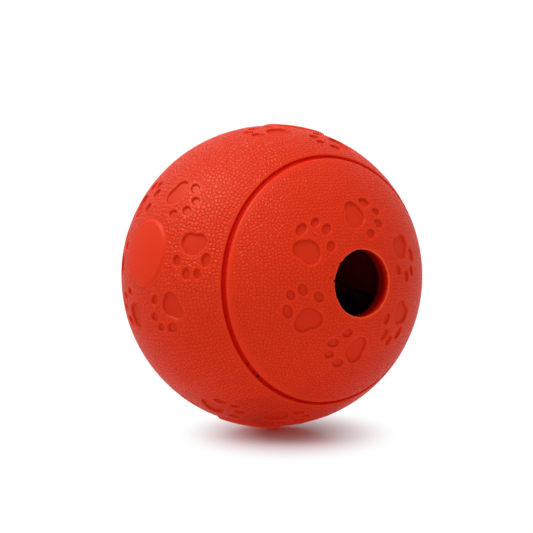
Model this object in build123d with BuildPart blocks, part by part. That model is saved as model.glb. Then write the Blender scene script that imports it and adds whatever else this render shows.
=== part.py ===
from build123d import *

import os
from math import cos, degrees, radians, sin, sqrt

# A hollow rubber ball with one hole for treats. Millimetres, +Z up, the origin at the ball's centre.
# The hole looks along -Y. A bowl and a cap are bonded at a lapped seam, with a flat wall inside.

# Ball
ball_diameter = 75.0
wall = 4.0

# Dispensing hole
hole_diameter = 15.7
rim_round = 0.3

# Seam between bowl and cap: its angle is taken at the ball's centre, from the hole's axis
seam_angle = 52.9
lap_length = 4.0
lap_depth = 2.0
groove_depth = 1.0
groove_floor = 0.6
shoulder_run = 1.2
bond_gap = 0.1

# Round pads: a belt of them about the hole's axis and one at the back
belt_pads = 4
belt_turn = 79.5
pad_diameter = 16.6
pad_rise = 0.38
pad_edge_run = 0.5

# Rings of paw prints, one about each pad and one about the hole: the angle is taken at the ball's centre
paw_count = 6
ring_angle = 24.75
belt_ring_turn = 10.0
front_ring_turn = 29.5
paw_heading = -93.3
print_depth = 0.7

# Heel print: a dome towards the toes and two lobes behind it
heel_dome_diameter = 5.2
heel_lobe_diameter = 4.2
heel_lobe_spread = 2.8
heel_lobe_setback = 0.8

# Toe prints: ovals, whose reach and bearing are taken from the heel print's dome, and which lean inwards
toe_length = 2.9
toe_width = 2.2
outer_toe_reach = 5.3
outer_toe_bearing = 48.0
inner_toe_reach = 6.9
inner_toe_bearing = 12.8
toe_lean = 0.2

# Inner wall, which stands in a channel moulded in the bowl
divider_thickness = 3.0
divider_tilt = 18.5
divider_setback = 14.0
divider_edge_round = 1.2
channel_depth = 1.0
channel_gap = 0.1

# Radii of the ball's layers, and the angles of the seam, the gap in it and the hole
outer_radius = ball_diameter / 2
inner_radius = outer_radius - wall
hole_radius = hole_diameter / 2
lap_radius = outer_radius - lap_depth
flange_radius = outer_radius - groove_depth
ledge_angle = seam_angle - degrees(lap_length / lap_radius)
gap_angle = degrees(bond_gap / lap_radius)
shoulder_foot_angle = seam_angle - degrees(groove_floor / flange_radius)
shoulder_top_angle = shoulder_foot_angle - degrees(shoulder_run / outer_radius)
ring_radius = radians(ring_angle) * outer_radius


def section_point(radius, angle):
    """Return a point of the ball's half section, at an angle from the section's pole."""
    return (radius * sin(radians(angle)), -radius * cos(radians(angle)))


def draw_section(*corners):
    """Draw a closed half section through corners, each a radius and an angle, with arcs along each layer."""
    for (radius, angle), (next_radius, next_angle) in zip(corners, [*corners[1:], corners[0]]):
        start = section_point(radius, angle)
        end = section_point(next_radius, next_angle)
        if radius == next_radius:
            ThreePointArc(start, section_point(radius, (angle + next_angle) / 2), end)
        else:
            Line(start, end)


def stamp_plane(*steps):
    """Return the floor plane of a print, reached from the top by steps, each a turn and an arc length."""
    place = Location()
    for turn, arc in steps:
        place = place * Rot(Z=turn) * Rot(Y=degrees(arc / outer_radius))
    return Plane(place * Pos(Z=outer_radius - print_depth))


# One round pad with a sloping edge, on the ball's top
top_section = Plane(origin=(0, 0, 0), x_dir=(1, 0, 0), z_dir=(0, 1, 0))
pad_radius = outer_radius + pad_rise
pad_foot_angle = degrees(pad_diameter / 2 / outer_radius)
pad_top_angle = pad_foot_angle - degrees(pad_edge_run / outer_radius)
with BuildPart() as pad:
    with BuildSketch(top_section):
        with BuildLine():
            draw_section(
                (pad_radius, 0),
                (pad_radius, pad_top_angle),
                (outer_radius, pad_foot_angle),
                (lap_radius, pad_foot_angle),
                (lap_radius, 0),
            )
        make_face()
    revolve(axis=Axis.Z)

# One ring of paw prints about the ball's top, as the stamps that press them in
stamp_height = 2 * print_depth
ring_turns = [360 / paw_count * paw for paw in range(paw_count)]
toes = [
    (outer_toe_bearing, outer_toe_reach),
    (inner_toe_bearing, inner_toe_reach),
    (-inner_toe_bearing, inner_toe_reach),
    (-outer_toe_bearing, outer_toe_reach),
]
heel_planes = [stamp_plane((turn, ring_radius), (paw_heading, 0)) for turn in ring_turns]
toe_planes = [
    stamp_plane((turn, ring_radius), (paw_heading + bearing, reach), (-bearing * (1 + toe_lean), 0))
    for turn in ring_turns
    for bearing, reach in toes
]
with BuildPart() as paw_ring:
    with BuildSketch(*heel_planes):
        Circle(heel_dome_diameter / 2)
        with Locations(
            (-heel_lobe_setback, heel_lobe_spread / 2),
            (-heel_lobe_setback, -heel_lobe_spread / 2),
        ):
            Circle(heel_lobe_diameter / 2)
    extrude(amount=stamp_height)
    with BuildSketch(*toe_planes):
        Ellipse(toe_length / 2, toe_width / 2)
    extrude(amount=stamp_height)

# Faces of the ball, each with +Z out of the ball: the belt's have +X towards the hole
front_face = Plane(origin=(0, 0, 0), x_dir=(1, 0, 0), z_dir=(0, -1, 0)).location
back_face = Plane(origin=(0, 0, 0), x_dir=(-1, 0, 0), z_dir=(0, 1, 0)).location
belt_turns = [belt_turn + 360 / belt_pads * pad_number for pad_number in range(belt_pads)]
belt_faces = [front_face * Rot(Z=turn) * Rot(Y=90) * Rot(Z=180) for turn in belt_turns]
ring_faces = [face * Rot(Z=belt_ring_turn) for face in belt_faces] + [back_face * Rot(Z=front_ring_turn)]
divider_plane = Plane.XY.rotated((0, divider_tilt, 0))

# Bowl: the ball behind the seam, with a ledge for the cap, the pads and the channel for the inner wall
with BuildPart() as body_shell:
    with BuildSketch():
        with BuildLine():
            draw_section(
                (outer_radius, seam_angle),
                (outer_radius, 180),
                (inner_radius, 180),
                (inner_radius, ledge_angle),
                (lap_radius, ledge_angle),
                (lap_radius, seam_angle),
            )
        make_face()
    revolve(axis=Axis.Y)
    with Locations(*belt_faces, back_face):
        add(pad.part)
    with Locations(*ring_faces):
        add(paw_ring.part, mode=Mode.SUBTRACT)
    with BuildSketch(divider_plane):
        Circle(inner_radius + channel_depth)
    extrude(amount=divider_thickness / 2 + channel_gap, both=True, mode=Mode.SUBTRACT)

# Cap: the ball before the seam, with the hole, its ring of prints and a flange at the groove's floor
with BuildPart() as hole_cap:
    with BuildSketch():
        with BuildLine():
            draw_section(
                (outer_radius, 0),
                (outer_radius, shoulder_top_angle),
                (flange_radius, shoulder_foot_angle),
                (flange_radius, seam_angle - gap_angle),
                (lap_radius + bond_gap, seam_angle - gap_angle),
                (lap_radius + bond_gap, ledge_angle - gap_angle),
                (inner_radius, ledge_angle - gap_angle),
                (inner_radius, 0),
            )
        make_face()
    revolve(axis=Axis.Y)
    with Locations(front_face):
        Hole(hole_radius)
    fillet(hole_cap.edges().group_by(Axis.Y)[0], rim_round)
    with Locations(front_face * Rot(Z=front_ring_turn)):
        add(paw_ring.part, mode=Mode.SUBTRACT)

# Inner wall: a disc with a straight front edge, held in the bowl's channel and clear of the cap
free_radius = inner_radius - channel_gap
key_radius = inner_radius + channel_depth - channel_gap
key_start = -inner_radius * cos(radians(ledge_angle))
divider_front = divider_setback - sqrt(inner_radius**2 - hole_radius**2)
with BuildPart() as divider_wall:
    with BuildSketch(divider_plane):
        Circle(key_radius)
        with Locations((0, key_start)):
            Rectangle(ball_diameter, ball_diameter, align=(Align.CENTER, Align.MAX), mode=Mode.SUBTRACT)
        Circle(free_radius)
        with Locations((0, divider_front)):
            Rectangle(ball_diameter, ball_diameter, align=(Align.CENTER, Align.MAX), mode=Mode.SUBTRACT)
    extrude(amount=divider_thickness / 2, both=True)
    front_edges = divider_wall.edges().filter_by(GeomType.LINE).group_by(Axis.Y)[0]
    fillet(front_edges, divider_edge_round)

os.makedirs("parts", exist_ok=True)
for name, piece in (("body_shell", body_shell), ("hole_cap", hole_cap), ("divider_wall", divider_wall)):
    piece.part.label = name
    export_step(piece.part, f"parts/{name}.step")
    print(f"{name}: {piece.part.volume / 1000:.2f} cm3, {len(piece.part.faces())} faces")
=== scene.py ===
"""A hollow rubber treat ball: a pebbled bowl and cap with paw prints, bonded at a groove, on a white floor.

+Z is up, the origin is the ball's centre and the hole looks along -Y. Lengths of the shapes and the camera
are millimetres. Those of the finishes, the lamps and the floor are metres, in which meshes are written.
"""

import logging
from collections.abc import Callable
from dataclasses import dataclass, field
from enum import Enum

import bpy
import numpy as np
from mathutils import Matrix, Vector

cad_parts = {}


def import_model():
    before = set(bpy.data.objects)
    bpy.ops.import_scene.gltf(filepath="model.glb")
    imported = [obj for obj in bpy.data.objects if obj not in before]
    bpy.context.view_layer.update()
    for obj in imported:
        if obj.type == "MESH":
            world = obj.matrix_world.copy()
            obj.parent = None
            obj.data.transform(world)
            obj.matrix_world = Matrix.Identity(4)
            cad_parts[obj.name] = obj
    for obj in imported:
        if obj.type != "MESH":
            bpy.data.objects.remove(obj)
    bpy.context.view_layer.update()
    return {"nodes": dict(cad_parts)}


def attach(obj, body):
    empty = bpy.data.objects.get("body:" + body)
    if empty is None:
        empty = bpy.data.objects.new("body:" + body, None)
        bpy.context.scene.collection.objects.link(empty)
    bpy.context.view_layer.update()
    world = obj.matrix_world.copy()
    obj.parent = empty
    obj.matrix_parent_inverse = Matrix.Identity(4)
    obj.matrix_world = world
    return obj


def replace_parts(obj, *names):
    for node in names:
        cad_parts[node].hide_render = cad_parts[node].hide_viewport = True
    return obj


LOG = logging.getLogger("treat_ball")
METRES = 0.001
MM3_PER_CM3 = 1000.0
TINY = 1e-9
IMAGE_SIZE = 533
WHITE = (1.0, 1.0, 1.0)

# Angles from the hole's axis between which the belt lies, in degrees
SEAM_ANGLE = 53.0
BELT_END = 128.0

Array = np.ndarray
Node = bpy.types.Node
Socket = bpy.types.NodeSocket
Colour = tuple[float, float, float]
Way = tuple[float, float, float]
# A start and an end, or a noise's scale and detail
Span = tuple[float, float]
# A start and an end, and the results at them
Range = tuple[float, float, float, float]


def place_object(name: str, data: bpy.types.ID) -> bpy.types.Object:
    """Return a new object in the scene, at the origin."""
    item = bpy.data.objects.new(name, data)
    bpy.context.scene.collection.objects.link(item)
    return item


def turn_z(degrees: float) -> Array:
    """Return the matrix that turns by an angle about Z."""
    c, s = np.cos(np.radians(degrees)), np.sin(np.radians(degrees))
    return np.array([[c, -s, 0.0], [s, c, 0.0], [0.0, 0.0, 1.0]])


def turn_y(degrees: float) -> Array:
    """Return the matrix that turns by an angle about Y, from Z towards X."""
    c, s = np.cos(np.radians(degrees)), np.sin(np.radians(degrees))
    return np.array([[c, 0.0, s], [0.0, 1.0, 0.0], [-s, 0.0, c]])


def smooth_step(value: Array, start: float, end: float) -> Array:
    """Return 0 before start, 1 after end and the cubic 3t^2 - 2t^3 between them.

    Args:
        value: Where the step is taken.
        start: Value at which the step leaves 0.
        end: Value at which the step reaches 1.

    Returns:
        The step, in the shape of value.
    """
    t = np.clip((value - start) / (end - start), 0.0, 1.0)
    return t * t * (3.0 - 2.0 * t)


def smooth_union(a: Array, b: Array, blend: float) -> Array:
    """Join two signed distances, with the corner between them filled over a blend length.

    Args:
        a: First signed distance.
        b: Second signed distance.
        blend: Length over which the two run into each other.

    Returns:
        The lesser distance, less a parabola of the blend where the two are close.
    """
    t = np.maximum(blend - np.abs(a - b), 0.0) / blend
    return np.minimum(a, b) - t * t * blend / 4.0


def ellipse_distance(along: Array, side: Array, half_along: float, half_side: float) -> Array:
    """Return the signed distance to an ellipse at the origin, exact on its outline.

    Args:
        along: Coordinate on the first half axis.
        side: Coordinate on the second half axis.
        half_along: First half axis.
        half_side: Second half axis.

    Returns:
        k(k - 1) / g, where k is the length scaled to the unit circle and g its slope.
    """
    k = np.hypot(along / half_along, side / half_side)
    g = np.hypot(along / half_along**2, side / half_side**2)
    return k * (k - 1.0) / np.maximum(g, TINY)


class Face(Enum):
    """Faces of the ball that carry a ring of prints, by what lies in the ring's middle."""

    HOLE = "hole"
    BELT = "belt"
    BACK = "back"


@dataclass(frozen=True)
class Lobe:
    """One circle of the heel print, placed along the way that the paw walks and to the left of it."""

    along: float
    side: float
    radius: float


@dataclass(frozen=True)
class Toe:
    """One toe print: an ellipse, placed like a lobe and turned to the left."""

    along: float
    side: float
    half_length: float
    half_width: float
    turn: float


@dataclass(frozen=True)
class PawPrint:
    """One paw print: a heel print of three joined circles, and four toe prints before it."""

    lobes: tuple[Lobe, ...] = (Lobe(0.0, -0.1, 2.58), Lobe(-0.7, 1.5, 2.13), Lobe(-0.9, -1.15, 2.2))
    toes: tuple[Toe, ...] = (
        Toe(3.47, 3.7, 1.72, 1.16, -8.0),
        Toe(6.65, 1.6, 1.32, 1.0, -1.0),
        Toe(6.65, -1.46, 1.5, 1.12, 0.0),
        Toe(3.57, -4.25, 1.44, 1.1, 13.0),
    )
    heel_blend: float = 0.65
    reach: float = 10.5

    def distance(self, along: Array, side: Array) -> Array:
        """Return the signed distance to the nearest outline of the print.

        The heel print is the smooth union of its circles. Each toe print is an ellipse of its own.

        Args:
            along: Coordinate on the way that the paw walks.
            side: Coordinate to the left of it.

        Returns:
            Distance, less than 0 inside a print.
        """
        nearest = np.full_like(along, self.reach)
        for lobe in self.lobes:
            circle = np.hypot(along - lobe.along, side - lobe.side) - lobe.radius
            nearest = smooth_union(nearest, circle, self.heel_blend)
        for toe in self.toes:
            c, s = np.cos(np.radians(toe.turn)), np.sin(np.radians(toe.turn))
            x, y = along - toe.along, side - toe.side
            oval = ellipse_distance(x * c + y * s, y * c - x * s, toe.half_length, toe.half_width)
            nearest = np.minimum(nearest, oval)
        return nearest


@dataclass(frozen=True)
class BallSkin:
    """The ball's outer skin: a sphere with raised pads and rings of recessed paw prints."""

    radius: float = 37.5
    belt_pads: int = 4
    belt_turn: float = 79.5
    pad_radius: float = 8.3
    pad_rise: float = 0.374
    pad_edge: float = 0.75
    paw_count: int = 6
    ring_radius: float = 16.2
    belt_ring_turn: float = 10.0
    front_ring_turn: float = 29.5
    paw_heading: float = -93.3
    print_depth: float = 0.57
    wall_top: float = 0.08
    wall_foot: float = -0.32
    rim_rise: float = 0.04
    rim_width: float = 0.5
    bare_border: float = 0.7
    edge_reach: float = 1.5
    pad_bare: Span = (-0.2, 0.8)
    wall_margin: float = 0.22
    wall_edge_limit: float = 0.28
    pad_margin: float = 0.45
    pad_edge_limit: float = 0.5
    slope_step: float = 0.03
    axis_limit: float = 0.9
    paw: PawPrint = PawPrint()

    def face_frame(self, face: Face, number: int = 0) -> Array:
        """Return a face's axes as columns, with the third out of the ball.

        Args:
            face: Which face.
            number: Which of the belt's faces.

        Returns:
            A matrix of three columns. A belt face has its first axis towards the hole.
        """
        front = np.array([[1.0, 0.0, 0.0], [0.0, 0.0, -1.0], [0.0, 1.0, 0.0]])
        back = np.array([[-1.0, 0.0, 0.0], [0.0, 0.0, 1.0], [0.0, 1.0, 0.0]])
        if face is Face.HOLE:
            return front
        if face is Face.BACK:
            return back
        turn = self.belt_turn + 360.0 / self.belt_pads * number
        return front @ turn_z(turn) @ turn_y(90.0) @ turn_z(180.0)

    def pad_frames(self) -> list[Array]:
        """Return the axes of each face with a pad, the back's last."""
        belt = [self.face_frame(Face.BELT, number) for number in range(self.belt_pads)]
        return belt + [self.face_frame(Face.BACK)]

    def paw_frames(self) -> list[Array]:
        """Return the axes of each paw: the first is the way it walks, the third is out of the ball."""
        *belt, back = self.pad_frames()
        rings = [face @ turn_z(self.belt_ring_turn) for face in belt]
        rings += [face @ turn_z(self.front_ring_turn) for face in (back, self.face_frame(Face.HOLE))]
        tilt = turn_y(np.degrees(self.ring_radius / self.radius)) @ turn_z(self.paw_heading)
        turns = [turn_z(360.0 / self.paw_count * paw) for paw in range(self.paw_count)]
        return [ring @ turn @ tilt for ring in rings for turn in turns]

    def flat_map(self, points: Array, axes: Array) -> tuple[Array, Array]:
        """Lay points of the skin flat about a frame's third axis, with true lengths from the middle.

        Args:
            points: Unit vectors, one a row.
            axes: Frame of the map as columns.

        Returns:
            The two coordinates: the arc from the middle, split along the first and second axis.
        """
        local = points @ axes
        across = np.hypot(local[:, 0], local[:, 1])
        scale = self.radius * np.arctan2(across, local[:, 2]) / np.maximum(across, TINY)
        return local[:, 0] * scale, local[:, 1] * scale

    def print_distance(self, points: Array) -> Array:
        """Return the signed distance from each unit vector to the nearest print's outline."""
        far = np.full(len(points), self.paw.reach)
        for axes in self.paw_frames():
            near = np.flatnonzero(points @ axes[:, 2] > np.cos(2.0 * self.paw.reach / self.radius))
            along, side = self.flat_map(points[near], axes)
            far[near] = np.minimum(far[near], self.paw.distance(along, side))
        return far

    def pad_distance(self, points: Array) -> Array:
        """Return the signed distance along the skin from each unit vector to the nearest pad's foot."""
        middle = np.max([points @ axes[:, 2] for axes in self.pad_frames()], axis=0)
        return self.radius * np.arccos(np.clip(middle, -1.0, 1.0)) - self.pad_radius

    def too_long(self, points: Array, lengths: Array) -> Array:
        """Tell which edges are too long for the walls of prints and pads that they may cross.

        Args:
            points: Unit vectors to the edges' middles, one a row.
            lengths: Length of each edge.

        Returns:
            True where an edge is to be split.
        """
        mid_wall = (self.wall_top + self.wall_foot) / 2.0
        by_wall = np.abs(self.print_distance(points) - mid_wall) - lengths / 2.0
        by_pad = np.abs(self.pad_distance(points) + self.pad_edge / 2.0) - lengths / 2.0
        at_wall = (by_wall < self.wall_margin) & (lengths > self.wall_edge_limit)
        at_pad = (by_pad < self.pad_margin) & (lengths > self.pad_edge_limit)
        return at_wall | at_pad

    def relief(self, points: Array) -> tuple[Array, Array, Array]:
        """Return the skin's height over the sphere, its pebble grain and the distance to the nearest print.

        A pad rises over its sloping edge. A print falls over its wall, with a low swell round its rim. The
        grain is full on the plain skin, and fades out at the prints and pads.

        Args:
            points: Unit vectors, one a row.

        Returns:
            Height, grain from 0 to 1, and signed distance up to a reach.
        """
        prints, pads = self.print_distance(points), self.pad_distance(points)
        pad = self.pad_rise * (1.0 - smooth_step(pads, -self.pad_edge, 0.0))
        wall = self.print_depth * (1.0 - smooth_step(prints, self.wall_foot, self.wall_top))
        swell = self.rim_rise * np.exp(-(((prints - self.wall_top) / self.rim_width) ** 2))
        height = pad - wall + np.where(prints > self.wall_top, swell, self.rim_rise)
        grain = smooth_step(prints, self.wall_top, self.bare_border) * smooth_step(pads, *self.pad_bare)
        return height, grain, np.clip(prints, -self.edge_reach, self.edge_reach)

    def normals(self, points: Array) -> Array:
        """Return the skin's outward normals, tilted by the relief's slope, which is found by small steps.

        Args:
            points: Unit vectors, one a row.

        Returns:
            Unit normals, one a row.
        """
        off_axis = np.abs(points[:, 1:2]) < self.axis_limit
        side = np.cross(points, np.where(off_axis, [[0.0, 1.0, 0.0]], [[1.0, 0.0, 0.0]]))
        side /= np.linalg.norm(side, axis=1, keepdims=True)
        step = self.slope_step
        normal = points.copy()
        for tangent in (side, np.cross(points, side)):
            ahead, behind = points + tangent * (step / self.radius), points - tangent * (step / self.radius)
            rise = self.relief(ahead)[0] - self.relief(behind)[0]
            normal -= tangent * (rise / (2.0 * step))[:, None]
        return normal / np.linalg.norm(normal, axis=1, keepdims=True)


def split_faces(faces: Array, middles: Array) -> Array:
    """Cut triangles at the middles of their split edges, into two, three or four, with no middle left open.

    Args:
        faces: Triangles, three point numbers a row.
        middles: Number of the middle point on each triangle's edges 01, 12 and 20, or -1 for none.

    Returns:
        All triangles, cut or whole.
    """
    split = middles >= 0
    count = split.sum(axis=1)
    first = np.where(count == 2, np.argmin(split, axis=1) + 1, np.argmax(split, axis=1))
    order = (first[:, None] + np.arange(3)) % 3
    a, b, c = np.take_along_axis(faces, order, 1).T
    ab, bc, ca = np.take_along_axis(middles, order, 1).T
    cuts = {
        1: ((a, ab, c), (ab, b, c)),
        2: ((ab, b, bc), (a, ab, bc), (a, bc, c)),
        3: ((a, ab, ca), (ab, b, bc), (ca, bc, c), (ab, bc, ca)),
    }
    parts = [faces[count == 0]]
    for number, pieces in cuts.items():
        parts += [np.stack(piece, axis=1)[count == number] for piece in pieces]
    return np.concatenate(parts)


def pebble_chart(corners: Array, squeeze: float = 0.92, back_shift: float = 9.0) -> Array:
    """Lay each triangle flat for the pebble pattern, at nearly true lengths.

    Triangles about the hole and about the back are laid out by their arc from the pole. Those of the belt
    between them are unrolled from a cylinder, which is cut on the side at +X.

    Args:
        corners: Triangles by three by three.
        squeeze: Cylinder's radius over the ball's.
        back_shift: How far the back's map is moved, so that it doesn't repeat the hole's.

    Returns:
        Triangles by three by two, on the unit sphere.
    """
    units = corners / np.linalg.norm(corners, axis=2, keepdims=True)
    middle = units.mean(axis=1)
    polar = np.arccos(np.clip(-units[..., 1], -1.0, 1.0))
    turn = np.arctan2(-units[..., 2], -units[..., 0])
    start = np.arctan2(-middle[:, 2], -middle[:, 0])[:, None]
    turn = start + (turn - start + np.pi) % (2.0 * np.pi) - np.pi
    around = np.stack([np.cos(turn), np.sin(turn)], axis=2)
    where = np.degrees(np.arccos(np.clip(-middle[:, 1], -1.0, 1.0)))[:, None, None]
    belt = np.stack([turn * squeeze, polar], axis=2)
    cap, back = around * polar[..., None], around * (np.pi - polar)[..., None] + back_shift
    return np.where(where > BELT_END, back, np.where(where < SEAM_ANGLE, cap, belt))


@dataclass
class RingMesh:
    """A surface of revolution about the hole's axis, gathered by rings, then refined at prints and pads."""

    skin: BallSkin
    rounds: int = 6
    shortest: float = 0.25
    points: list[Array] = field(default_factory=list)
    shade: list[Array] = field(default_factory=list)
    on_skin: list[Array] = field(default_factory=list)
    rings: list[Array] = field(default_factory=list)
    count: int = 0

    def add(self, points: Array, shade: Array | float = 0.0, on_skin: bool = False) -> None:
        """Add rings of points.

        Args:
            points: Rings by columns by three.
            shade: Painted shade by how far inside the ball each ring is, from 0 to 1, or below 0 a painted
                highlight.
            on_skin: Whether the rings lie on the outer skin, and take its relief.
        """
        rows, columns = points.shape[:2]
        self.points.append(points.reshape(-1, 3))
        self.shade.append(np.repeat(np.broadcast_to(shade, rows), columns))
        self.on_skin.append(np.full(rows * columns, on_skin))
        self.rings += list(self.count + np.arange(rows * columns).reshape(rows, columns))
        self.count += rows * columns

    @staticmethod
    def weave(a: Array, b: Array) -> Array:
        """Fill the band between two rings with triangles.

        Rings of one size are joined by squares, cut in two along diagonals that take turns. A ring with a
        whole number of times the other's points is joined to it by fans, and a single point by one fan.

        Args:
            a: Point numbers of the first ring.
            b: Point numbers of the second ring.

        Returns:
            Triangles, three point numbers a row.
        """
        if len(a) < len(b):
            return RingMesh.weave(b, a)[:, ::-1]
        a_next, b_next = np.roll(a, -1), np.roll(b, -1)
        if len(a) == len(b):
            first = (np.arange(len(a)) % 2 == 0)[:, None]
            lower = np.where(first, np.stack([a, a_next, b_next], 1), np.stack([a, a_next, b], 1))
            upper = np.where(first, np.stack([a, b_next, b], 1), np.stack([a_next, b_next, b], 1))
            return np.concatenate([lower, upper])
        times = len(a) // len(b)
        owner = np.repeat(b, times)
        fans = np.stack([a, a_next, owner], 1)
        if len(b) == 1:
            return fans
        corners = a_next[times - 1 :: times]
        return np.concatenate([fans, np.stack([corners, b_next, b], 1)])

    def refine(self, points: Array, on_skin: Array, faces: Array) -> tuple[Array, Array, Array]:
        """Split long edges near the walls of prints and pads, in rounds that each halve them.

        Args:
            points: Points of the mesh, those on the skin at the ball's plain radius.
            on_skin: Which points lie on the skin.
            faces: Triangles, three point numbers a row.

        Returns:
            Points, flags and triangles, with the new points last.
        """
        for _ in range(self.rounds):
            ends = np.concatenate([faces[:, [0, 1]], faces[:, [1, 2]], faces[:, [2, 0]]])
            keys, owner = np.unique(ends.min(axis=1) * len(points) + ends.max(axis=1), return_inverse=True)
            a, b = keys // len(points), keys % len(points)
            length = np.linalg.norm(points[a] - points[b], axis=1)
            middle = points[a] + points[b]
            middle /= np.linalg.norm(middle, axis=1, keepdims=True)
            long = np.flatnonzero(on_skin[a] & on_skin[b] & (length > self.shortest))
            cut = np.zeros(len(keys), dtype=bool)
            cut[long] = self.skin.too_long(middle[long], length[long])
            numbers = np.where(cut, len(points) + np.cumsum(cut) - 1, -1)
            faces = split_faces(faces, numbers[owner].reshape(3, -1).T)
            points = np.concatenate([points, self.skin.radius * middle[cut]])
            on_skin = np.concatenate([on_skin, np.ones(cut.sum(), dtype=bool)])
        return points, on_skin, faces

    def to_object(self, name: str, closed: bool, bare: Callable[[Array], Array]) -> bpy.types.Object:
        """Make the object, with the skin's relief, faces turned outwards, marks and a map for the pebbles.

        Args:
            name: Name of the piece.
            closed: Whether the last ring is joined to the first.
            bare: Share of the grain that is left at each angle from the hole's axis, in degrees.

        Returns:
            The object, at the origin.
        """
        points, on_skin = np.concatenate(self.points), np.concatenate(self.on_skin)
        pairs = list(zip(self.rings, self.rings[1:] + self.rings[:1] if closed else self.rings[1:]))
        faces = np.concatenate([self.weave(a, b) for a, b in pairs])
        points, on_skin, faces = self.refine(points, on_skin, faces)
        shade, grain = np.zeros(len(points)), np.zeros(len(points))
        shade[: self.count] = np.concatenate(self.shade)
        edge = np.full(len(points), self.skin.edge_reach)
        units = points[on_skin] / self.skin.radius
        height, grain[on_skin], edge[on_skin] = self.skin.relief(units)
        grain[on_skin] *= bare(np.degrees(np.arccos(np.clip(-units[:, 1], -1.0, 1.0))))
        points[on_skin] = units * (self.skin.radius + height)[:, None]
        corners = points[faces]
        volume = np.einsum("ij,ij->i", corners[:, 0], np.cross(corners[:, 1], corners[:, 2])).sum() / 6.0
        if volume < 0.0:
            faces, corners = faces[:, ::-1], corners[:, ::-1]
        mesh = bpy.data.meshes.new(name)
        mesh.from_pydata((points * METRES).tolist(), [], faces.tolist())
        for mark, values in (("grain", grain), ("edge", edge), ("shade", shade)):
            mesh.attributes.new(mark, "FLOAT", "POINT").data.foreach_set("value", values.astype(np.float32))
        flat = pebble_chart(corners) * (self.skin.radius * METRES)
        mesh.uv_layers.new(name="pebbles").data.foreach_set("uv", flat.reshape(-1).astype(np.float32))
        mesh.shade_smooth()
        normals = np.zeros_like(points)
        normals[on_skin] = self.skin.normals(units)
        mesh.normals_split_custom_set_from_vertices(normals.tolist())
        piece = place_object(name, mesh)
        solid = abs(volume) / MM3_PER_CM3
        LOG.info("%s: %d points, %d triangles, %.2f cm3", name, len(points), len(faces), solid)
        return piece


def section_to_rings(across: Array, depth: Array, columns: int) -> Array:
    """Turn section points about the hole's axis.

    Args:
        across: Distance of each section point from the axis.
        depth: Y of each section point.
        columns: Number of steps round the axis.

    Returns:
        Rings by columns by three: (across cos t, depth, across sin t), with t from +X towards +Z.
    """
    turn = np.arange(columns) * (2.0 * np.pi / columns)
    return np.stack(
        [
            across[:, None] * np.cos(turn),
            np.broadcast_to(depth[:, None], (len(depth), columns)),
            across[:, None] * np.sin(turn),
        ],
        axis=2,
    )


def polar_to_section(radius: Array, angle: Array) -> tuple[Array, Array]:
    """Return section points from their distance to the middle and their angle from the hole's axis."""
    return radius * np.sin(np.radians(angle)), -radius * np.cos(np.radians(angle))


def spaced(start: float, end: float, step: float) -> Array:
    """Return even values from start up to, and without, end, at about a step."""
    return np.linspace(start, end, max(int(round(abs(end - start) / step)), 1), endpoint=False)


def skin_rings(skin: BallSkin, angles: Array, columns: int) -> Array:
    """Return rings of the plain sphere at angles from the hole's axis, in degrees."""
    return section_to_rings(*polar_to_section(np.full(len(angles), skin.radius), angles), columns)


@dataclass
class Seam:
    """Sizes of the lapped seam between bowl and cap, which both sides share."""

    angle: float = SEAM_ANGLE
    lap_radius: float = 35.5
    floor_foot_radius: float = 36.75
    floor_lip_radius: float = 37.0
    inner_radius: float = 33.5
    lap_length: float = 4.0
    groove_floor: float = 1.0
    shoulder_run: float = 0.85
    gap: float = 0.03
    lip_round: float = 0.18

    @property
    def ledge_angle(self) -> float:
        """Return the angle of the ledge's end from the hole's axis."""
        return self.angle - np.degrees(self.lap_length / self.lap_radius)

    @property
    def gap_angle(self) -> float:
        """Return the angle of the gap in the seam."""
        return float(np.degrees(self.gap / self.lap_radius))


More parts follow.
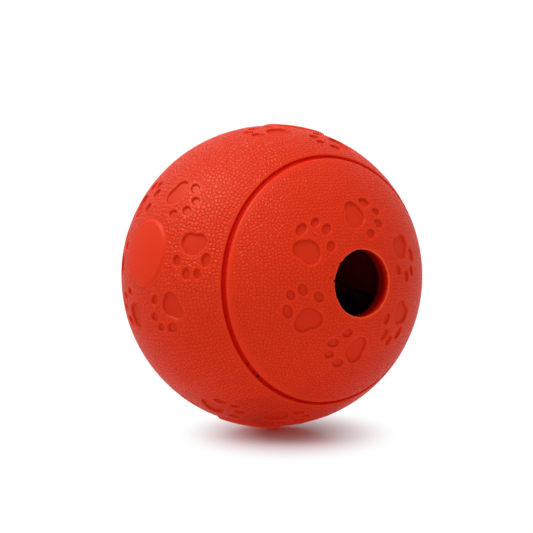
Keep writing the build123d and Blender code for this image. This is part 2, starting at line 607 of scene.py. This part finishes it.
@dataclass
class BodyShell:
    """The moulded bowl behind the groove, with the ledge that the cap is bonded to."""

    skin: BallSkin
    seam: Seam
    columns: int = 240
    step: float = 1.6
    lip_steps: Span = (1.0, 0.5)
    lip_points: int = 5
    inner_angles: tuple[float, float, float] = (52.0, 178.0, 7.0)
    lip_bare: Span = (0.4, 1.2)

    def outer_rings(self, mesh: RingMesh) -> None:
        """Add the plain skin from the back's pole to the lip, in even steps and closer at the lip."""
        mesh.add(np.array([[[0.0, self.skin.radius, 0.0]]]), on_skin=True)
        back = spaced(180.0 - self.step, BELT_END, self.step)
        near_lip = self.seam.angle + np.array(self.lip_steps)
        belt = np.append(spaced(BELT_END, self.seam.angle + self.step, self.step), near_lip)
        mesh.add(skin_rings(self.skin, back, self.columns // 2), on_skin=True)
        mesh.add(skin_rings(self.skin, belt, self.columns), on_skin=True)

    def lip_rings(self, mesh: RingMesh) -> None:
        """Add the rounded lip: a quarter circle from the skin into the groove's wall."""
        turn = np.radians(np.linspace(0.0, 90.0, self.lip_points))
        rise = self.seam.lip_round
        radius = self.skin.radius - rise * (1.0 - np.cos(turn))
        angle = self.seam.angle + np.degrees(rise * (1.0 - np.sin(turn)) / self.skin.radius)
        mesh.add(section_to_rings(*polar_to_section(radius, angle), 2 * self.columns))

    def inner_rings(self, mesh: RingMesh) -> None:
        """Add the groove's wall, the ledge and the plain inside, up to the inner pole."""
        seam = self.seam
        inside = np.concatenate([[seam.ledge_angle], np.arange(*self.inner_angles)])
        ledge = [seam.floor_lip_radius, seam.lap_radius, seam.lap_radius]
        radius = np.concatenate([ledge, np.full(len(inside), seam.inner_radius)])
        angle = np.concatenate([[seam.angle, seam.angle, seam.ledge_angle], inside])
        # The inside takes the finish's colour of painted shade, which on the bowl is near its own red
        mesh.add(section_to_rings(*polar_to_section(radius, angle), self.columns // 2), shade=1.0)
        mesh.add(np.array([[[0.0, seam.inner_radius, 0.0]]]), shade=1.0)

    def bare(self, angles: Array) -> Array:
        """Return the share of the grain that is left at angles from the hole's axis: none beside the lip."""
        return smooth_step(angles - self.seam.angle, *self.lip_bare)

    def build(self, finish: "RubberFinish") -> bpy.types.Object:
        """Build the bowl and put it in the place of its CAD node.

        Args:
            finish: The rubber that it is dressed in.

        Returns:
            The bowl.
        """
        mesh = RingMesh(self.skin)
        self.outer_rings(mesh)
        self.lip_rings(mesh)
        self.inner_rings(mesh)
        piece = mesh.to_object("pebbled_bowl", closed=False, bare=self.bare)
        piece.data.materials.append(finish.material())
        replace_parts(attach(piece, "root"), "body_shell")
        return piece


@dataclass
class HoleCap:
    """The moulded cap inside the groove, with the dispensing hole and the ring of prints about it."""

    skin: BallSkin
    seam: Seam
    hole_radius: float = 7.85
    rim_round: float = 0.34
    rim_ripple: float = 0.07
    nick_turns: tuple[float, ...] = (143.7, 173.8)
    nick_depth: float = 0.32
    nick_half: float = 1.5
    ripple_seed: int = 7
    ripple_waves: tuple[int, int, int] = (5, 60, 3)
    ripple_fade: float = 1.6
    # Painted highlight on the hole's rim, and painted shade down the bore and in the groove
    rim_highlight_end: float = 0.3
    bore_shade: Span = (-0.4, 2.6)
    foot_shade: float = 0.44
    foot_power: float = 4.0
    floor_shade: float = 0.4
    rim_bare: Span = (0.1, 1.1)
    shoulder_bare: float = 0.8
    rim_gap: float = 0.7
    shoulder_gap: float = 0.6
    columns: int = 840
    step: float = 1.5
    shoulder_points: int = 10
    inner_points: int = 9
    bore_points: int = 5
    rim_points: int = 5

    @property
    def rim_angle(self) -> float:
        """Return the angle of the hole's rim from its axis."""
        return float(np.degrees(np.arcsin((self.hole_radius + self.rim_round) / self.skin.radius)))

    @property
    def foot_angle(self) -> float:
        """Return the angle at which the shoulder meets the groove's floor."""
        return self.seam.angle - np.degrees(self.seam.groove_floor / self.seam.floor_foot_radius)

    @property
    def shoulder_angle(self) -> float:
        """Return the angle at which the skin turns into the shoulder."""
        return self.foot_angle - np.degrees(self.seam.shoulder_run / self.skin.radius)

    def outer_rings(self, mesh: RingMesh) -> None:
        """Add the plain skin from the hole's rim to the shoulder."""
        mesh.add(skin_rings(self.skin, np.array([self.rim_angle]), self.columns), on_skin=True)
        start, end = self.rim_angle + self.rim_gap, self.shoulder_angle - self.shoulder_gap
        angles = np.append(spaced(start, end, self.step), self.shoulder_angle)
        mesh.add(skin_rings(self.skin, angles, self.columns // 4), on_skin=True)

    def bare(self, angles: Array) -> Array:
        """Return the share of the grain that is left at angles from the hole's axis: none at both edges."""
        by_rim = smooth_step(angles - self.rim_angle, *self.rim_bare)
        return by_rim * (1.0 - smooth_step(angles - self.shoulder_angle, -self.shoulder_bare, 0.0))

    def shoulder_rings(self, mesh: RingMesh) -> None:
        """Add the shoulder, a quarter ellipse from the skin down to the groove's floor, and the floor."""
        turn = np.radians(np.linspace(0.0, 90.0, self.shoulder_points))
        fall = self.skin.radius - self.seam.floor_foot_radius
        radius = np.append(self.skin.radius - fall * (1.0 - np.cos(turn)), self.seam.floor_lip_radius)
        angle = self.shoulder_angle + (self.foot_angle - self.shoulder_angle) * np.sin(turn)
        angle = np.append(angle, self.seam.angle - self.seam.gap_angle)
        # Painted shade in the groove: darkest at the shoulder's foot, and across the floor
        shade = np.append(self.foot_shade * np.sin(turn) ** self.foot_power, self.floor_shade)
        mesh.add(section_to_rings(*polar_to_section(radius, angle), self.columns // 2), shade=shade)

    def inner_rings(self, mesh: RingMesh) -> None:
        """Add the flange's end, the lap and the plain inside, up to the hole's inner edge."""
        seam = self.seam
        edge, end = seam.angle - seam.gap_angle, seam.ledge_angle - seam.gap_angle
        bore_angle = np.degrees(np.arcsin(self.hole_radius / seam.inner_radius))
        inside = np.linspace(end, bore_angle, self.inner_points)
        lap = np.full(2, seam.lap_radius + seam.gap)
        radius = np.concatenate([lap, np.full(len(inside), seam.inner_radius)])
        angle = np.concatenate([[edge, end], inside])
        # Painted shade: the inside takes the finish's darkest colour
        mesh.add(section_to_rings(*polar_to_section(radius, angle), self.columns // 4), shade=1.0)

    def rim_edge(self) -> Array:
        """Return how far the hole's edge is out of round at each column, by waves and bell-shaped nicks."""
        turn = np.arange(self.columns) * (2.0 * np.pi / self.columns)
        waves = np.arange(*self.ripple_waves)[:, None]
        phases = np.random.default_rng(self.ripple_seed).uniform(0.0, 2.0 * np.pi, len(waves))
        ripple = (np.cos(waves * turn + phases[:, None]) / np.sqrt(waves)).sum(axis=0)
        away = np.degrees(turn) - np.array(self.nick_turns)[:, None]
        away = (away + 180.0) % 360.0 - 180.0
        nicks = np.exp(-((away / self.nick_half) ** 2)).sum(axis=0)
        return self.rim_ripple * ripple + self.nick_depth * nicks

    def bore_rings(self, mesh: RingMesh) -> None:
        """Add the bore's wall and the hole's rounded rim, with a painted highlight, whose uneven edge dies
        out down the bore.
        """
        front = -np.sqrt(self.skin.radius**2 - (self.hole_radius + self.rim_round) ** 2)
        back = -np.sqrt(self.seam.inner_radius**2 - self.hole_radius**2)
        turn = np.radians(np.linspace(0.0, 90.0, self.rim_points, endpoint=False))
        wall = np.linspace(back, front + self.rim_round, self.bore_points + 2)[1:-1]
        depth = np.append(wall, front + self.rim_round * (1.0 - np.sin(turn)))
        spread = np.append(np.zeros(self.bore_points), self.rim_round * (1.0 - np.cos(turn)))
        fade = smooth_step(depth - front, self.ripple_fade, 0.0)
        reach = self.hole_radius + spread[:, None] + fade[:, None] * self.rim_edge()
        rings = section_to_rings(np.ones_like(depth), depth, self.columns)
        # Painted highlight on the rim's rounding, stored as shade below 0, and painted shade deepening down
        # the bore
        painted_rim_highlight = smooth_step(depth - front, self.rim_round, self.rim_highlight_end * self.rim_round)
        shade = smooth_step(depth - front, *self.bore_shade) - painted_rim_highlight
        mesh.add(rings * np.stack([reach, np.ones_like(reach), reach], axis=2), shade=shade)

    def build(self, finish: "RubberFinish") -> bpy.types.Object:
        """Build the cap and put it in the place of its CAD node.

        Args:
            finish: The rubber that it is dressed in.

        Returns:
            The cap.
        """
        mesh = RingMesh(self.skin)
        self.outer_rings(mesh)
        self.shoulder_rings(mesh)
        self.inner_rings(mesh)
        self.bore_rings(mesh)
        piece = mesh.to_object("pebbled_cap", closed=True, bare=self.bare)
        piece.data.materials.append(finish.material())
        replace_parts(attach(piece, "root"), "hole_cap")
        return piece


@dataclass(frozen=True)
class NodeTree:
    """The node tree of a material or of the world, with short ways to add to it."""

    tree: bpy.types.NodeTree

    def wire(self, source: Socket, target: Socket) -> None:
        """Link one socket to another."""
        self.tree.links.new(source, target)

    def add(self, kind: str, **settings: object) -> Node:
        """Add a node of a kind, and set its properties by name."""
        node = self.tree.nodes.new(kind)
        for name, value in settings.items():
            setattr(node, name, value)
        return node

    def place(self) -> Socket:
        """Add the object's own coordinates."""
        return self.add("ShaderNodeTexCoord").outputs["Object"]

    def math(self, operation: str, a: Socket | float, b: Socket | float) -> Socket:
        """Add a calculation with two numbers, each a socket or a value."""
        node = self.add("ShaderNodeMath", operation=operation)
        for value, socket in zip((a, b), node.inputs):
            if isinstance(value, (int, float)):
                socket.default_value = value
            else:
                self.wire(value, socket)
        return node.outputs[0]

    def noise(self, place: Socket, scale: float, detail: float) -> Socket:
        """Add a noise with a number of features in a metre and a number of finer layers."""
        node = self.add("ShaderNodeTexNoise")
        self.wire(place, node.inputs["Vector"])
        node.inputs["Scale"].default_value = scale
        node.inputs["Detail"].default_value = detail
        return node.outputs["Fac"]

    def ramp(self, value: Socket, start: float, end: float, low: float, high: float) -> Socket:
        """Map a number smoothly, from low at the start to high at the end."""
        node = self.add("ShaderNodeMapRange", interpolation_type="SMOOTHSTEP")
        self.wire(value, node.inputs["Value"])
        for name, number in zip(("From Min", "From Max", "To Min", "To Max"), (start, end, low, high)):
            node.inputs[name].default_value = number
        return node.outputs["Result"]

    def mix(self, share: Socket, a: Socket | Colour, b: Socket | Colour) -> Socket:
        """Mix two colours, each a socket or three numbers, with a share of the second."""
        node = self.add("ShaderNodeMix", data_type="RGBA")
        self.wire(share, node.inputs[0])
        for colour, socket in ((a, node.inputs[6]), (b, node.inputs[7])):
            if isinstance(colour, Socket):
                self.wire(colour, socket)
            else:
                socket.default_value = (*colour, 1.0)
        return node.outputs[2]

    def mix_shaders(self, share: Socket, a: Node, b: Node) -> Node:
        """Mix two shaders, with a share of the second."""
        node = self.add("ShaderNodeMixShader")
        for number, source in enumerate((share, a.outputs[0], b.outputs[0])):
            self.wire(source, node.inputs[number])
        return node

    def bump(self, shader: Node, height: Socket, strength: float, distance: float) -> None:
        """Raise a shader's surface by a share of a height, for which 1 stands for a distance."""
        node = self.add("ShaderNodeBump")
        node.inputs["Strength"].default_value = strength
        node.inputs["Distance"].default_value = distance
        self.wire(height, node.inputs["Height"])
        self.wire(node.outputs["Normal"], shader.inputs["Normal"])

    def seen(self) -> tuple[Node, Socket]:
        """Add a light path, and return it with whether its ray shows a surface, rather than lights one."""
        path = self.add("ShaderNodeLightPath")
        seen = self.math("MAXIMUM", path.outputs["Is Camera Ray"], path.outputs["Is Transmission Ray"])
        return path, self.math("MAXIMUM", seen, path.outputs["Is Glossy Ray"])


def new_material(name: str) -> tuple[bpy.types.Material, NodeTree, Node]:
    """Return a new material, its tree and its main shader."""
    material = bpy.data.materials.new(name)
    material.use_nodes = True
    return material, NodeTree(material.node_tree), material.node_tree.nodes["Principled BSDF"]


@dataclass(frozen=True)
class Speck:
    """One speck of soil, placed by its angle from the hole's axis, its turn from +X and its radius."""

    angle: float
    turn: float
    size: float
    strength: float = 0.85
    radius: float = 37.5

    def place(self) -> tuple[float, float, float]:
        """Return where the speck is, in metres."""
        across, depth = polar_to_section(self.radius * METRES, self.angle)
        turn = np.radians(self.turn)
        return float(across * np.cos(turn)), float(depth), float(across * np.sin(turn))


@dataclass(frozen=True)
class RubberFinish:
    """Moulded natural rubber with a pebble grain, which fades where the surface has no grain."""

    name: str
    colour: Colour = (0.78, 0.038, 0.0095)
    # Darker red: painted shade in the pebbles' valleys, and also uneven patches of tone
    valley_shade_and_patch: Colour = (0.67, 0.026, 0.005)
    # Painted shade in the prints, strongest along the foot of their walls
    crease_shade: Colour = (0.34, 0.007, 0.002)
    # Painted highlight along the hole's rim
    rim_highlight: Colour = (0.92, 0.1, 0.035)
    # Painted shade: the groove and the bore deepen to this red, before darkening towards the inside
    deep_shade: Colour = (0.68, 0.006, 0.002)
    # Painted shade of the inside and down the bore
    inside: Colour = (0.25, 0.003, 0.001)
    soil: Colour = (0.05, 0.006, 0.004)
    specks: tuple[Speck, ...] = ()
    pebble_pitch: float = 0.00088
    pebble_height: float = 0.0001
    pebble_edge: float = 0.42
    pebble_chance: float = 0.8
    fine_noise: Span = (2600.0, 3.0)
    fine_share: float = 0.06
    coarse_noise: Span = (90.0, 2.0)
    valley_shade_range: Range = (0.0, 0.5, 1.0, 0.0)
    patch_range: Range = (0.3, 0.7, 0.0, 0.12)
    print_shade_range: Range = (-0.5, -0.25, 0.2, 0.4)
    print_shade_fade: Range = (-0.2, 0.08, 1.0, 0.0)
    rim_highlight_range: Range = (-0.8, 0.0, 0.8, 0.0)
    deep_shade_range: Range = (0.0, 0.5, 0.0, 1.0)
    inside_shade_range: Range = (0.4, 1.0, 0.0, 1.0)
    ragged_range: Range = (0.3, 0.7, 0.7, 1.5)
    speck_core: float = 0.4
    roughness: Range = (0.25, 0.75, 0.36, 0.46)
    bare_dulling: float = 0.08
    gloss: float = 0.033

    def material(self) -> bpy.types.Material:
        """Build the material.

        Pebbles are cells about scattered points of a flat map, each a dome that falls with the square of the
        way from its flat top to the cell's edge. A fine noise roughens the surface, and a coarse one makes
        its colour uneven. Painted shade darkens the pebbles' valleys, the prints' floors and most of all the
        foot of their walls. The hole's rim gets a painted highlight, and painted shade deepens the colour
        towards the inside, in the groove and down the bore.

        Returns:
            The material.
        """
        material, tree, shader = new_material(self.name)
        place = tree.place()
        grain, edge, inner = (
            tree.add("ShaderNodeAttribute", attribute_name=mark).outputs["Fac"]
            for mark in ("grain", "edge", "shade")
        )
        fine = tree.noise(place, *self.fine_noise)
        coarse = tree.noise(place, *self.coarse_noise)

        cell = tree.add("ShaderNodeTexVoronoi", feature="DISTANCE_TO_EDGE", voronoi_dimensions="2D")
        tree.wire(tree.add("ShaderNodeUVMap", uv_map="pebbles").outputs["UV"], cell.inputs["Vector"])
        cell.inputs["Scale"].default_value = 1.0 / self.pebble_pitch
        cell.inputs["Randomness"].default_value = self.pebble_chance
        fall = tree.ramp(cell.outputs["Distance"], 0.0, self.pebble_edge, 1.0, 0.0)
        dome = tree.math("SUBTRACT", 1.0, tree.math("POWER", fall, 2.0))
        pebbles = tree.math("MULTIPLY", tree.math("MULTIPLY", dome, grain), self.pebble_height)
        rough = tree.math("MULTIPLY", fine, self.fine_share * self.pebble_height)
        tree.bump(shader, tree.math("ADD", pebbles, rough), 1.0, 1.0)

        # Painted shade in the pebbles' valleys, then darker patches of tone from the coarse noise
        low = tree.math("MULTIPLY", tree.ramp(dome, *self.valley_shade_range), grain)
        colour = tree.mix(low, self.colour, self.valley_shade_and_patch)
        colour = tree.mix(tree.ramp(coarse, *self.patch_range), colour, self.valley_shade_and_patch)
        # Painted shade: a little over the prints' floors, most along the foot of their walls
        foot = tree.ramp(edge, *self.print_shade_range)
        foot = tree.math("MULTIPLY", foot, tree.ramp(edge, *self.print_shade_fade))
        colour = tree.mix(foot, colour, self.crease_shade)
        # Painted highlight on the hole's rim, then painted shade in the groove, down the bore and inside
        colour = tree.mix(tree.ramp(inner, *self.rim_highlight_range), colour, self.rim_highlight)
        colour = tree.mix(tree.ramp(inner, *self.deep_shade_range), colour, self.deep_shade)
        colour = tree.mix(tree.ramp(inner, *self.inside_shade_range), colour, self.inside)
        for speck in self.specks:
            reach = tree.add("ShaderNodeVectorMath", operation="DISTANCE")
            tree.wire(place, reach.inputs[0])
            reach.inputs[1].default_value = speck.place()
            ragged = tree.ramp(fine, *self.ragged_range)
            ragged = tree.math("MULTIPLY", reach.outputs["Value"], ragged)
            size = speck.size * METRES
            dark = tree.ramp(ragged, self.speck_core * size, size, speck.strength, 0.0)
            colour = tree.mix(dark, colour, self.soil)
        tree.wire(colour, shader.inputs["Base Color"])
        dull = tree.ramp(grain, 0.0, 1.0, self.bare_dulling, 0.0)
        dull = tree.math("ADD", tree.ramp(fine, *self.roughness), dull)
        tree.wire(dull, shader.inputs["Roughness"])
        shader.inputs["Specular IOR Level"].default_value = self.gloss
        return material


@dataclass(frozen=True)
class InnerShadeFinish:
    """Moulded rubber of the inner wall, near black as painted shade, dull and with darker patches."""

    name: str
    colour: Colour = (0.05, 0.012, 0.01)
    darker_patch: Colour = (0.035, 0.01, 0.009)
    noise: Span = (420.0, 4.0)
    patch_range: Range = (0.35, 0.65, 0.0, 1.0)
    roughness: Range = (0.3, 0.7, 0.75, 0.9)
    gloss: float = 0.03
    bump_strength: float = 0.4
    bump_height: float = 0.0001

    def material(self) -> bpy.types.Material:
        """Build the material, whose colour and dullness follow a soft noise.

        Returns:
            The material.
        """
        material, tree, shader = new_material(self.name)
        place = tree.place()
        noise = tree.noise(place, *self.noise)
        patch = tree.ramp(noise, *self.patch_range)
        tree.wire(tree.mix(patch, self.colour, self.darker_patch), shader.inputs["Base Color"])
        tree.wire(tree.ramp(noise, *self.roughness), shader.inputs["Roughness"])
        shader.inputs["Specular IOR Level"].default_value = self.gloss
        tree.bump(shader, noise, self.bump_strength, self.bump_height)
        return material


@dataclass
class Studio:
    """White floor, soft light from the upper left and a camera at the photograph's angle."""

    floor_height: float
    azimuth: float = -34.88
    elevation: float = 3.3
    reach: float = 392.4
    focal_pixels: float = 1567.5
    centre_pixels: Span = (271.85, 275.94)
    sensor_width: float = 36.0
    clip_start: float = 0.01
    ambient: float = 0.58
    key_power: float = 2.7
    key_way: Way = (-0.22, 0.92, 0.3)
    key_reach: float = 0.7
    key_size: float = 0.4
    gleam_power: float = 24.0
    gleam_colour: Colour = (1.0, 0.66, 0.48)
    gleam_way: Way = (-0.6, 0.79, 0.11)
    gleam_size: float = 0.26
    floor_half: float = 4.0
    floor_colour: Colour = (0.93, 0.93, 0.93)
    floor_roughness: float = 0.9
    floor_glow: float = 0.5
    sheen_colour: Colour = (0.24, 0.4, 0.42)
    sheen_roughness: float = 0.2
    sheen_share: float = 0.45
    shade_middle: Span = (0.004, 0.01)
    shade_half: Span = (0.034, 0.052)
    white_range: Range = (0.12, 0.82, 0.0, 1.0)
    # Painted red bounce on the floor near the ball
    painted_bounce: Colour = (1.0, 0.72, 0.76)

    def axes(self) -> tuple[Vector, Vector, Vector]:
        """Return the camera's right, up and backward axes."""
        a, e = np.radians(self.azimuth), np.radians(self.elevation)
        back = Vector((np.sin(a) * np.cos(e), -np.cos(a) * np.cos(e), np.sin(e)))
        right = Vector((np.cos(a), np.sin(a), 0.0))
        return right, back.cross(right), back

    def set_camera(self) -> None:
        """Place the camera, with the shift that puts the ball's middle where the photograph has it."""
        camera = bpy.data.cameras.new("camera")
        camera.sensor_width = self.sensor_width
        camera.lens = camera.sensor_width * self.focal_pixels / IMAGE_SIZE
        camera.shift_x = (IMAGE_SIZE / 2.0 - self.centre_pixels[0]) / IMAGE_SIZE
        camera.shift_y = (self.centre_pixels[1] - IMAGE_SIZE / 2.0) / IMAGE_SIZE
        camera.clip_start = self.clip_start
        holder = place_object("camera", camera)
        back = self.axes()[2]
        holder.location = back * (self.reach * METRES)
        holder.rotation_euler = back.to_track_quat("Z", "Y").to_euler()
        bpy.context.scene.camera = holder

    def hang_lamp(self, name: str, power: float, way: Way, size: float) -> bpy.types.Object:
        """Hang a round lamp that looks at the ball.

        Args:
            name: Name of the lamp.
            power: Its power in watts.
            way: Where it hangs, on the camera's right, up and backward axes.
            size: Its diameter in metres.

        Returns:
            The lamp's object.
        """
        lamp = bpy.data.lights.new(name, "AREA")
        lamp.shape = "DISK"
        lamp.size = size
        lamp.energy = power
        holder = place_object(name, lamp)
        out = sum((axis * share for axis, share in zip(self.axes(), way)), Vector()).normalized()
        holder.location = out * self.key_reach
        holder.rotation_euler = out.to_track_quat("Z", "Y").to_euler()
        return holder

    def set_light(self) -> None:
        """Hang a large soft lamp at the upper left, and a small one beside it that only the gloss shows."""
        self.hang_lamp("key", self.key_power, self.key_way, self.key_size)
        gleam = self.hang_lamp("gleam", self.gleam_power, self.gleam_way, self.gleam_size)
        gleam.data.color = self.gleam_colour
        gleam.visible_diffuse = False

    def set_world(self) -> None:
        """Surround the ball with white: full strength where it is seen, less where it lights."""
        world = bpy.data.worlds.new("white_room")
        world.use_nodes = True
        tree = NodeTree(world.node_tree)
        room = world.node_tree.nodes["Background"]
        room.inputs["Color"].default_value = (*WHITE, 1.0)
        _, seen = tree.seen()
        tree.wire(tree.ramp(seen, 0.0, 1.0, self.ambient, 1.0), room.inputs["Strength"])
        bpy.context.scene.world = world

    def floor_reach(self, tree: NodeTree) -> Socket:
        """Return how far the floor is from the middle of the ball's shade, with 1 on an ellipse about it."""
        place = tree.place()
        right, _, back = self.axes()
        spread = tree.add("ShaderNodeCombineXYZ")
        for number, axis in enumerate((right, back)):
            along = tree.add("ShaderNodeVectorMath", operation="DOT_PRODUCT")
            tree.wire(place, along.inputs[0])
            along.inputs[1].default_value = (axis.x, axis.y, 0.0)
            shifted = tree.math("SUBTRACT", along.outputs["Value"], self.shade_middle[number])
            tree.wire(tree.math("DIVIDE", shifted, self.shade_half[number]), spread.inputs[number])
        reach = tree.add("ShaderNodeVectorMath", operation="LENGTH")
        tree.wire(spread.outputs[0], reach.inputs[0])
        return reach.outputs["Value"]

    def floor_material(self) -> bpy.types.Material:
        """Build the floor's white: dull near the ball, where it takes the shadow, and plain far from it.

        Only the camera sees the sheen. Near the ball the white is tinted pink, a painted red bounce. Light
        that the floor throws back onto the ball is lifted by a share of this glow, a painted bounce from
        below.

        Returns:
            The material.
        """
        material, tree, shader = new_material("floor_white")
        shader.inputs["Base Color"].default_value = (*self.floor_colour, 1.0)
        shader.inputs["Roughness"].default_value = self.floor_roughness
        shader.inputs["Specular IOR Level"].default_value = 0.0
        gloss = tree.add("ShaderNodeBsdfGlossy")
        gloss.inputs["Color"].default_value = (*self.sheen_colour, 1.0)
        gloss.inputs["Roughness"].default_value = self.sheen_roughness
        path, seen = tree.seen()
        sheen = tree.math("MULTIPLY", path.outputs["Is Camera Ray"], self.sheen_share)
        near = tree.mix_shaders(sheen, shader, gloss)
        far = tree.ramp(self.floor_reach(tree), *self.white_range)
        white = tree.add("ShaderNodeEmission")
        tree.wire(tree.mix(far, self.painted_bounce, WHITE), white.inputs["Color"])
        # Painted bounce: for rays that light the ball, the floor glows
        glow = tree.math("MULTIPLY", path.outputs["Is Diffuse Ray"], self.floor_glow)
        share = tree.math("MAXIMUM", tree.math("MULTIPLY", far, seen), glow)
        output = material.node_tree.nodes["Material Output"]
        mixed = tree.mix_shaders(share, near, white)
        tree.wire(mixed.outputs[0], output.inputs["Surface"])
        return material

    def set_floor(self) -> None:
        """Lay the floor, a square under the ball."""
        half, height = self.floor_half, self.floor_height * METRES
        mesh = bpy.data.meshes.new("floor")
        corners = [(x * half, y * half, height) for x, y in ((-1, -1), (1, -1), (1, 1), (-1, 1))]
        mesh.from_pydata(corners, [], [(0, 1, 2, 3)])
        floor = place_object("floor", mesh)
        mesh.materials.append(self.floor_material())

    def build(self) -> None:
        """Build the floor, the light, the world and the camera."""
        self.set_floor()
        self.set_world()
        self.set_light()
        self.set_camera()
        bpy.context.scene.view_settings.view_transform = "Standard"


def main() -> None:
    """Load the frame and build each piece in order."""
    logging.basicConfig(level=logging.INFO, format="%(name)s: %(message)s")
    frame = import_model()
    skin, seam = BallSkin(), Seam()
    # The bowl's inside is set near the rubber's own red, so little shade is painted there
    bowl_rubber = RubberFinish(
        "bowl_rubber", inside=(0.8, 0.045, 0.02), pebble_pitch=0.00103, pebble_height=0.00013
    )
    BodyShell(skin, seam).build(bowl_rubber)
    specks = (
        Speck(52.28, -140.4, 0.42, radius=36.9),
        Speck(52.31, -135.1, 0.36, radius=36.9),
        Speck(52.39, -132.3, 0.46, radius=36.9),
        Speck(51.65, -119.8, 0.42, radius=37.0),
        Speck(14.42, 152.8, 0.4, 0.35),
        Speck(13.83, 170.1, 0.45, 0.4),
        Speck(13.84, -169.4, 0.4, 0.3),
    )
    HoleCap(skin, seam).build(RubberFinish("cap_rubber", specks=specks))
    # The divider takes near-black painted shade
    divider = frame["nodes"]["divider_wall"]
    divider.data.materials.clear()
    divider.data.materials.append(InnerShadeFinish("divider_shade_rubber").material())
    LOG.info("divider_wall: kept from the frame, with its own finish")
    Studio(floor_height=-(skin.radius + skin.pad_rise)).build()


if __name__ == "__main__":
    main()
